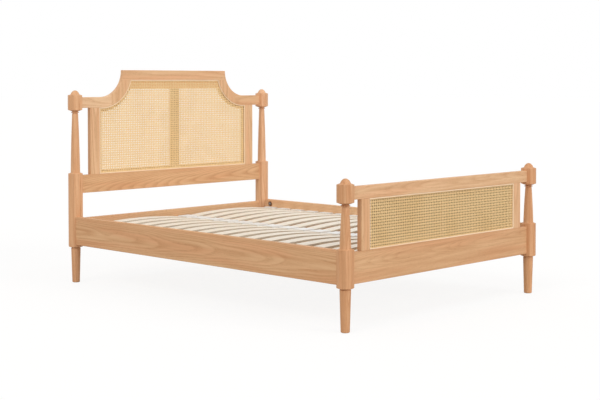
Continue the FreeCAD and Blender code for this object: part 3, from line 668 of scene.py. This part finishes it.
def cane_skin(end, along):
    """Split cane: a satin skin with fine lengthways lines, each strand its own shade."""
    material, made, place = blank_surface("cane_" + end + "_" + along)
    colours = sizes("bed_colours")
    parts = made.add("SeparateXYZ", {"Vector": place}).outputs
    across = parts["X"] if along == "Z" else made.math("SUBTRACT", parts["Z"], CaneField(end).first_row)
    strand = made.math("FLOOR", made.math("DIVIDE", across, sizes("cane_sizes").pitch / 2))
    own = made.add("TexWhiteNoise", {"W": strand}, noise_dimensions="1D").outputs["Value"]
    lines = made.noise(place, *CANE_LINE_NOISES[along])
    run = made.add("CombineXYZ", {"X": parts[along], "Y": strand}).outputs["Vector"]
    mixed = made.total((own, CANE_OWN_SHARE), (made.noise(run, *CANE_DRIFT_NOISE), CANE_DRIFT_SHARE),
                       (made.fade(lines, CANE_LINE_LIMITS), CANE_LINE_SHARE))
    pale, deep, green = (toned(shade, CANE_TONE_SHARES[end])
                         for shade in (colours.cane_pale, colours.cane_deep, colours.cane_green))
    greened = made.fade(made.noise(place, *CANE_GREEN_NOISE), CANE_GREEN_LIMITS, (0, CANE_GREEN_SHARE))
    shade = made.mix(greened, made.mix(mixed, pale, deep), green)
    finish(made, CANE_SHADER, shade, made.fade(lines, SHEEN_LIMITS, CANE_ROUGHNESS), lines, CANE_RELIEF)
    return material


def moulded_plastic():
    """White plastic with a fine moulded texture."""
    colours = sizes("bed_colours")
    material, made, place = blank_surface("white_plastic")
    grain = made.noise(place, *MOULD_NOISE)
    cloud = made.fade(made.noise(place, *CLOUD_NOISE), MIDDLE_LIMITS, (0, CLOUD_SHARE))
    shade = made.mix(cloud, four(colours.plastic), four(colours.birch_deep))
    rough = made.fade(grain, SHEEN_LIMITS, PLASTIC_ROUGHNESS)
    finish(made, PLASTIC_SHADER, shade, rough, grain, PLASTIC_RELIEF)
    return material


def zinc_steel():
    """Bright zinc plate with faint drawing lines and duller spots."""
    steel = four(sizes("bed_colours").steel)
    material, made, place = blank_surface("zinc_steel")
    lines = made.noise(place, *STEEL_LINE_NOISE)
    spots = made.noise(place, *STEEL_SPOT_NOISE)
    dull = made.mix(1, steel, DULL_STEEL_TINT, "MULTIPLY")
    shade = made.mix(made.fade(spots, SPOT_LIMITS), steel, dull)
    finish(made, STEEL_SHADER, shade, made.fade(spots, MIDDLE_LIMITS, STEEL_ROUGHNESS), lines, STEEL_RELIEF)
    return material


def carried(node, material, edge):
    """Keeps a board as the frame has it, with rounded edges and its own material."""
    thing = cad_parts[node]
    dressed(thing, material)
    board = sizes("board_sizes")
    with_modifier(thing, "WELD", merge_threshold=board.weld)
    with_modifier(thing, "BEVEL", width=edge, segments=board.edge_steps, limit_method="ANGLE",
                  angle_limit=board.smooth_angle)
    with_modifier(thing, "WEIGHTED_NORMAL", keep_sharp=True)


def curve(radius, swell, height, rise, start, end, steps):
    """Rings of a turned profile along part of an ellipse, between two angles."""
    rings = []
    for index in range(steps + 1):
        turn = start + (end - start) * index / steps
        rings.append((radius + swell * math.cos(turn), height + rise * math.sin(turn)))
    return rings


def turned(rings, x, y, sides, start_angle=0):
    """Raises a turned form ring by ring from its lowest (radius, height)."""
    deselect_all()
    radius, height = rings[0]
    bpy.ops.mesh.primitive_circle_add(vertices=sides, radius=radius, fill_type="NGON",
                                      location=(x, y, height), rotation=(0, 0, start_angle),
                                      enter_editmode=True)
    for next_radius, next_height in rings[1:]:
        rise = (0, 0, next_height - height)
        bpy.ops.mesh.extrude_region_move(TRANSFORM_OT_translate={"value": rise})
        growth = next_radius / radius
        bpy.ops.transform.resize(value=(growth, growth, 1), center_override=(x, y, next_height))
        radius = next_radius
        height = next_height
    return faced_out()


def end_drop(radius):
    """How far the coned end of a block has run on from its corners at a radius."""
    post = sizes("post_sizes")
    return (post.across_corners / 2 - radius) * math.tan(post.end_angle)


def octagon_block(x, y, low, high):
    """An octagonal block with rounded corners and coned ends."""
    post = sizes("post_sizes")
    tip = end_drop(0)
    deselect_all()
    bpy.ops.mesh.primitive_cylinder_add(vertices=post.facets, radius=post.across_corners / 2,
                                        depth=high - low + 2 * tip, location=(x, y, (low + high) / 2),
                                        enter_editmode=True)
    select_parts(lambda edge: abs(edge.verts[0].co.z - edge.verts[1].co.z) > tip, "edges")
    bpy.ops.mesh.bevel(offset=post.arris, segments=post.arris_steps, affect="EDGES")
    block = settled(done_editing())
    near = post.overrun
    far = post.across_corners / 2 + post.overrun
    ends = [(near, low - end_drop(near)), (far, low - end_drop(far)),
            (far, high + end_drop(far)), (near, high + end_drop(near))]
    # The envelope is turned by half a side, so that none of its edges lies on one of the post's.
    envelope = turned(ends, x, y, post.round_sides, math.pi / post.round_sides)
    return combined(block, envelope, "INTERSECT")


def post_rings(block_low, block_high, cap_low, cap_high):
    """The turned core of a post, from the floor to the tip of its dome."""
    post = sizes("post_sizes")
    steps = post.round_steps
    neck = block_low - end_drop(post.leg_top)
    half_groove = post.leg_groove_height / 2
    rings = curve(post.leg_bottom - post.toe, post.toe, post.toe, post.toe, -QUARTER_TURN, 0, steps)
    rings += curve(post.leg_top, -post.leg_groove_depth, neck - half_groove, half_groove,
                   -QUARTER_TURN, QUARTER_TURN, steps)
    rings.append((post.leg_top, block_low))

    bottom = block_high + end_drop(post.spindle_bottom)
    neck_top = cap_low - end_drop(post.neck)
    collar_top = neck_top - post.neck_height
    collar_bottom = collar_top - post.collar_height
    top = collar_bottom - post.spindle_groove_height
    rings.append((post.spindle_bottom, block_high))
    for index in range(steps + 1):
        way = index / steps
        radius = post.spindle_bottom + (post.spindle_top - post.spindle_bottom) * way
        rings.append((radius + post.spindle_swell * math.sin(math.pi * way), bottom + (top - bottom) * way))
    groove = post.spindle_top - post.spindle_groove_depth
    rings += [(groove, top), (groove, collar_bottom)]
    rings += curve(post.neck, post.collar_swell, (collar_bottom + collar_top) / 2, post.collar_height / 2,
                   -QUARTER_TURN, QUARTER_TURN, steps)
    rings.append((post.neck, cap_low))

    foot = cap_high + end_drop(post.dome)
    rings.append((post.dome, cap_high))
    rise = post.dome_height / (1 - math.sin(post.dome_start))
    swell = post.dome / math.cos(post.dome_start)
    dome = curve(0, swell, foot + post.dome_height - rise, rise, post.dome_start, QUARTER_TURN, steps)
    tip_height = dome.pop()[1]
    rings += dome
    rings.append((dome[-1][0] / steps, tip_height))
    return rings


def frame_copy(node):
    """A merged copy of a board of the frame, to cut its seat with."""
    twin = copy_of(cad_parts[node])
    twin.parent = None
    twin.hide_render = False
    twin.hide_viewport = False
    for modifier in list(twin.modifiers):
        twin.modifiers.remove(modifier)
    edited(twin)
    bpy.ops.mesh.remove_doubles(threshold=sizes("board_sizes").weld)
    return done_editing()


def turned_post(node, block_high, cap_rail, cap_rail_height, rails):
    """One post with its blocks and the seats of its rails."""
    post = sizes("post_sizes")
    centre = middle(node)
    block_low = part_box("side_rail_left")[0].z - post.block_below_rail
    cap_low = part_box(cap_rail)[0].z - post.cap_below_rail
    cap_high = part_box(cap_rail)[0].z + cap_rail_height + post.cap_above_rail
    core = turned(post_rings(block_low, block_high, cap_low, cap_high), centre.x, centre.y, post.round_sides)
    for low, high in ((block_low, block_high), (cap_low, cap_high)):
        combined(core, octagon_block(centre.x, centre.y, low, high), "UNION")
    for rail in rails:
        combined(core, frame_copy(rail), "DIFFERENCE")
    return smoothed(core)


class BED_OT_posts(bpy.types.Operator):
    """Turn the four posts"""
    bl_idname = "bed.posts"
    bl_label = "Turned posts"

    def execute(self, context):
        post = sizes("post_sizes")
        side_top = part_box("side_rail_left")[1].z
        foot_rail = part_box("foot_top_rail")
        foot = turned_post("foot_post_left", side_top + post.block_above_side, "foot_top_rail",
                           foot_rail[1].z - foot_rail[0].z,
                           ("foot_lower_rail", "foot_top_rail", "side_rail_left"))
        head_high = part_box("head_lower_rail")[1].z + post.block_above_lower
        head = turned_post("head_post_left", head_high, "head_shoulder_left", post.shoulder_height,
                           ("head_cross_rail", "head_lower_rail", "head_shoulder_left", "side_rail_left"))
        for end, left in (("foot", foot), ("head", head)):
            for side, thing in zip(SIDES, (left, smoothed(mirrored(left)))):
                node = end + "_post_" + side
                piece(thing, "turned_" + node, wood("post_oak", node, "Z", POST_SEEDS[node]), node)
        return {"FINISHED"}


class BED_OT_boards(bpy.types.Operator):
    """Ease the boards of the head board, the foot board and the sides"""
    bl_idname = "bed.boards"
    bl_label = "Boards"

    def execute(self, context):
        edge = sizes("board_sizes").board_edge
        for kind, material, boards in (("oak", wood, OAK_BY_GRAIN), ("backing", shaded_oak, BACKING_BY_GRAIN),
                                       ("pine", wood, PINE_BY_GRAIN)):
            grains = [(node, grain) for grain, nodes in boards.items() for node in nodes]
            for seed, (node, grain) in enumerate(grains):
                carried(node, material(kind, node, grain, seed), edge)
        return {"FINISHED"}


class BED_OT_beads(bpy.types.Operator):
    """Round the pale beads that hold the cane"""
    bl_idname = "bed.beads"
    bl_label = "Cane beads"

    def execute(self, context):
        for end in ("head", "foot"):
            node = end + "_cane_beads"
            carried(node, wood("bead", node, "X", BEAD_SEED), sizes("board_sizes").bead_edge)
        return {"FINISHED"}


def strand_width(end, along):
    cane = sizes("cane_sizes")
    width = cane.upright_strand if along == "Z" else cane.level_strand
    return width * (cane.foot_share if end == "foot" else 1)


def half_band_width(end, along):
    """Half the width of the two strands that make one band."""
    return strand_width(end, along) + sizes("cane_sizes").strand_gap / 2


def strand_pair(end, along, start, cells, over):
    """Two strands side by side that pass over and under, one after the other, from a start point."""
    cane = sizes("cane_sizes")
    width = strand_width(end, along)
    step = AXES[ACROSS[along]] * (width + cane.strand_gap)
    flat = AXES[along] * 2 * half_band_width(end, ACROSS[along])
    slope = AXES[along] * cane.pitch - flat
    lift = AXES["Y"] * (cane.strand_thickness + cane.strand_gap) * (-1 if over else 1)
    first = start - (flat - lift + step) / 2
    deselect_all()
    bpy.ops.mesh.primitive_circle_add(vertices=cane.sides, radius=width / 2, fill_type="NOTHING",
                                      location=first, rotation=STRAND_TURNS[along], enter_editmode=True)
    squeeze = cane.strand_thickness / width
    bpy.ops.transform.resize(value=(1, squeeze, 1), center_override=first)
    for run in (flat, slope - lift, flat, slope + lift):
        bpy.ops.mesh.extrude_region_move(TRANSFORM_OT_translate={"value": run})
    pair = faced_out()
    modified(pair, "ARRAY", count=cells, use_relative_offset=False, use_constant_offset=True,
             constant_offset_displace=AXES[along] * 2 * cane.pitch, use_merge_vertices=True,
             merge_threshold=sizes("board_sizes").weld)
    modified(pair, "ARRAY", count=2, use_relative_offset=False, use_constant_offset=True,
             constant_offset_displace=step)
    return pair


def trimmed(thing, along, low, high):
    """Cuts a band to its length and closes the cut ends."""
    edited(thing)
    direction = AXES[along]
    for limit, facing in ((low, -1), (high, 1)):
        bpy.ops.mesh.select_all(action="SELECT")
        bpy.ops.mesh.bisect(plane_co=direction * limit, plane_no=direction * facing, use_fill=True,
                            clear_outer=True)
    return done_editing()


class CaneField:
    """The outline that one cane panel fills, measured from the frame's boards."""

    def __init__(self, end):
        cane = sizes("cane_sizes")
        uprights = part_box(end + "_cane_uprights")
        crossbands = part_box(end + "_cane_crossbands")
        self.half_width = -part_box(end + "_stile_left")[1].x - cane.edge_gap
        self.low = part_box(end + "_lower_rail")[1].z + cane.edge_gap
        self.high = uprights[1].z
        self.y = (uprights[0].y + crossbands[1].y) / 2
        self.rows = int((self.high - self.low - 2 * half_band_width(end, "X")) / cane.pitch) + 1
        self.first_row = (self.high + self.low - (self.rows - 1) * cane.pitch) / 2
        # The head's panel has two corners cut out by arcs, and the foot's has none.
        self.curve_x = 0
        self.curve_z = self.high
        self.curve_radius = 0
        if end == "head":
            self.curve_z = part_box("head_crest_rail")[1].z
            radius = self.curve_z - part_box("head_shoulder_right")[0].z
            drop = self.curve_z - self.high - cane.edge_gap
            self.curve_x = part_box("head_corner_right")[0].x + math.sqrt(radius ** 2 - drop ** 2)
            self.curve_radius = radius + cane.edge_gap

    def reach(self, height):
        """Half the panel's width at a height."""
        drop = self.curve_z - height
        if drop >= self.curve_radius:
            return self.half_width
        return min(self.half_width, self.curve_x - math.sqrt(self.curve_radius ** 2 - drop ** 2))

    def top(self, distance):
        """The panel's upper edge at a distance from the middle."""
        sideways = max(0, self.curve_x - distance)
        if sideways >= self.curve_radius:
            return self.high
        return min(self.high, self.curve_z - math.sqrt(self.curve_radius ** 2 - sideways ** 2))


def woven(end, along):
    """All the bands of one panel that run along one axis."""
    cane = sizes("cane_sizes")
    field = CaneField(end)
    half_band = half_band_width(end, along)
    columns = int((field.half_width - half_band_width(end, "Z")) / cane.pitch)
    if along == "Z":
        places = [column * cane.pitch for column in range(-columns, columns + 1)]
        origin = field.first_row - 2 * cane.pitch
        cells = field.rows // 2 + SPARE_CELLS
        first_over = 0
    else:
        places = [field.first_row + row * cane.pitch for row in range(field.rows)]
        origin = -(columns + 2 - columns % 2) * cane.pitch
        cells = columns + SPARE_CELLS
        first_over = columns + 1
    start = AXES[along] * origin + AXES["Y"] * field.y
    patterns = [strand_pair(end, along, start, cells, over) for over in (True, False)]
    bands = []
    for index, place in enumerate(places):
        band = settled(copy_of(patterns[(index + first_over) % 2], AXES[ACROSS[along]] * place))
        if along == "Z":
            limits = (field.low, field.top(abs(place) + half_band))
        else:
            reach = min(field.reach(place - half_band), field.reach(place + half_band))
            limits = (-reach, reach)
        bands.append(trimmed(band, along, *limits))
    for pattern in patterns:
        bpy.data.objects.remove(pattern)
    weave = joined(bands)
    only(weave)
    bpy.ops.object.shade_smooth_by_angle(angle=cane.smooth_angle)
    return weave


class BED_OT_cane(bpy.types.Operator):
    """Weave the two cane panels"""
    bl_idname = "bed.cane"
    bl_label = "Woven cane"

    def execute(self, context):
        for along, ending in (("Z", "_cane_uprights"), ("X", "_cane_crossbands")):
            for end in ("head", "foot"):
                node = end + ending
                piece(woven(end, along), "woven_" + node, cane_skin(end, along), node)
        return {"FINISHED"}


def bowed_slat(node):
    """The right-hand slat of a row, in laid plies, and the centre that it is bent about."""
    slat = sizes("slat_sizes")
    low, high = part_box(node)
    inner = slat.inner_gap + slat.end_play
    outer = high.x - slat.end_play
    half_span = (outer - inner) / 2
    radius = (half_span ** 2 + slat.crown ** 2) / (2 * slat.crown)
    centre = Vector(((inner + outer) / 2, (low.y + high.y) / 2, high.z - slat.thickness - radius))
    half_bend = math.asin(half_span / (radius + slat.thickness))
    top = centre + AXES["Z"] * (radius + slat.thickness / 2)
    deselect_all()
    bpy.ops.mesh.primitive_grid_add(x_subdivisions=slat.plies, y_subdivisions=1, size=1, location=top,
                                    rotation=(0, QUARTER_TURN, 0), enter_editmode=True)
    bpy.ops.transform.resize(value=(1, high.y - low.y, slat.thickness), center_override=top)
    bpy.ops.transform.rotate(value=half_bend, orient_axis="Y", center_override=centre)
    bpy.ops.mesh.spin(steps=slat.steps, angle=-2 * half_bend, center=centre, axis=AXES["Y"])
    return faced_out(), centre, radius


class BED_OT_slats(bpy.types.Operator):
    """Bend the bowed slats"""
    bl_idname = "bed.slats"
    bl_label = "Bowed slats"

    def execute(self, context):
        slat = sizes("slat_sizes")
        rows = sorted(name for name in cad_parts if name.startswith("slat_pair_"))
        pattern, centre, radius = bowed_slat(rows[0])
        pair = joined([pattern, mirrored(pattern)])
        modified(pair, "BEVEL", width=slat.edge, segments=slat.edge_steps, limit_method="ANGLE",
                 angle_limit=slat.edge_angle)
        smoothed(pair)

        def cross_ply(face):
            """Whether a face is on the edge of a slat and on every other ply."""
            point = face.calc_center_median()
            height = math.hypot(abs(point.x) - centre.x, point.z - centre.z) - radius
            ply = int(height / slat.thickness * slat.plies)
            return abs(face.normal.y) > SLAT_EDGE_SHARE and ply % 2 == 1

        faces = wood("birch", rows[0], "X", BIRCH_SEED)
        plies = wood("cross_plies", rows[0], "Y", PLY_SEED)
        for name in rows:
            row = settled(copy_of(pair, (0, middle(name).y - centre.y, 0)))
            piece(row, "bowed_" + name, faces, name)
            row.data.materials.append(plies)
            edited(row)
            select_parts(cross_ply)
            row.active_material_index = 1
            bpy.ops.object.material_slot_assign()
            done_editing()
        bpy.data.objects.remove(pair)
        return {"FINISHED"}


class BED_OT_fittings(bpy.types.Operator):
    """Finish the slat holders and the steel fittings"""
    bl_idname = "bed.fittings"
    bl_label = "Holders and fittings"

    def execute(self, context):
        board = sizes("board_sizes")
        plastic = moulded_plastic()
        steel = zinc_steel()
        for node in ("slat_holders_left", "slat_holders_right", "slat_holders_centre"):
            carried(node, plastic, board.holder_edge)
        for node in ("centre_rail_hangers", "rail_bolts", "half_moon_washers", "rail_nuts"):
            carried(node, steel, board.steel_edge)
        return {"FINISHED"}


def soft_lamp(name, towards, strength):
    """A wide soft lamp, far away in one direction."""
    data = bpy.data.lights.new(name, "SUN")
    data.angle = sizes("studio_settings").lamp_spread
    data.energy = strength
    lamp = bpy.data.objects.new(name, data)
    bpy.context.scene.collection.objects.link(lamp)
    lamp.rotation_euler = Vector(towards).to_track_quat("Z", "Y").to_euler()


class BED_OT_stage(bpy.types.Operator):
    """Set up the camera, the lamps and the floor"""
    bl_idname = "bed.stage"
    bl_label = "Studio"

    def execute(self, context):
        studio = sizes("studio_settings")
        scene = context.scene
        data = bpy.data.cameras.new("camera")
        data.lens = studio.lens
        data.shift_y = studio.shift
        camera = bpy.data.objects.new("camera", data)
        scene.collection.objects.link(camera)
        camera.location = studio.camera_place
        camera.rotation_euler = studio.camera_turn
        data.clip_end = studio.floor_size
        scene.camera = camera
        scene.view_settings.view_transform = "Standard"

        deselect_all()
        bpy.ops.mesh.primitive_plane_add(size=studio.floor_size)
        floor = settled(context.object)
        floor.name = "studio_floor"
        floor.data.materials.append(self.floor_material(studio))

        world = bpy.data.worlds.new("studio")
        scene.world = world
        made = blank_nodes(world)
        ray = made.add("LightPath").outputs
        seen = made.math("MAXIMUM", ray["Is Camera Ray"], ray["Is Glossy Ray"])
        seen = made.math("MAXIMUM", seen, ray["Is Transmission Ray"])
        strength = made.fade(seen, (0, 1), (studio.sky, 1))
        sky = made.add("Background", {"Color": WHITE, "Strength": strength})
        made.add("OutputWorld", {"Surface": sky.outputs["Background"]})

        soft_lamp("front_lamp", studio.front_from, studio.front_strength)
        soft_lamp("side_lamp", studio.side_from, studio.side_strength)
        return {"FINISHED"}

    def floor_material(self, studio):
        """A pale floor that stays white on camera except where the bed shades it."""
        colours = sizes("bed_colours")
        material = bpy.data.materials.new("pale_floor")
        made = blank_nodes(material)
        ray = made.add("LightPath").outputs
        dimmed = made.mix(ray["Is Camera Ray"], four(colours.floor), toned(colours.floor, studio.floor_shade))
        paint = made.add("BsdfDiffuse", {"Color": dimmed}).outputs["BSDF"]
        seen = made.math("MULTIPLY", ray["Is Camera Ray"], studio.floor_glow)
        glow = made.add("Emission", {"Color": WHITE, "Strength": seen}).outputs["Emission"]
        mixed = made.add("AddShader", {0: paint, 1: glow}).outputs["Shader"]
        made.add("OutputMaterial", {"Surface": mixed})
        return material


class BED_PT_panel(bpy.types.Panel):
    """Steps and sizes of the bed"""
    bl_idname = "BED_PT_panel"
    bl_label = "Cane panel bed"
    bl_space_type = "VIEW_3D"
    bl_region_type = "UI"
    bl_category = "Bed"

    def draw(self, context):
        for step in STEPS:
            self.layout.operator(step.bl_idname)
        for name, kind in SETTINGS:
            box = self.layout.box()
            box.label(text=kind.__doc__)
            for setting in kind.__annotations__:
                box.prop(getattr(context.scene, name), setting)


SETTINGS = (
    ("post_sizes", PostSizes),
    ("cane_sizes", CaneSizes),
    ("slat_sizes", SlatSizes),
    ("board_sizes", BoardSizes),
    ("bed_colours", BedColours),
    ("studio_settings", StudioSettings),
)
STEPS = (BED_OT_stage, BED_OT_posts, BED_OT_boards, BED_OT_beads, BED_OT_cane, BED_OT_slats, BED_OT_fittings)


def register():
    for name, kind in SETTINGS:
        bpy.utils.register_class(kind)
        setattr(bpy.types.Scene, name, PointerProperty(type=kind))
    for kind in (*STEPS, BED_PT_panel):
        bpy.utils.register_class(kind)


def unregister():
    for kind in reversed((*STEPS, BED_PT_panel)):
        bpy.utils.unregister_class(kind)
    for name, kind in reversed(SETTINGS):
        delattr(bpy.types.Scene, name)
        bpy.utils.unregister_class(kind)


def main():
    register()
    for step in STEPS:
        getattr(bpy.ops.bed, step.bl_idname.split(".")[1])()


if __name__ == "__main__":
    main()
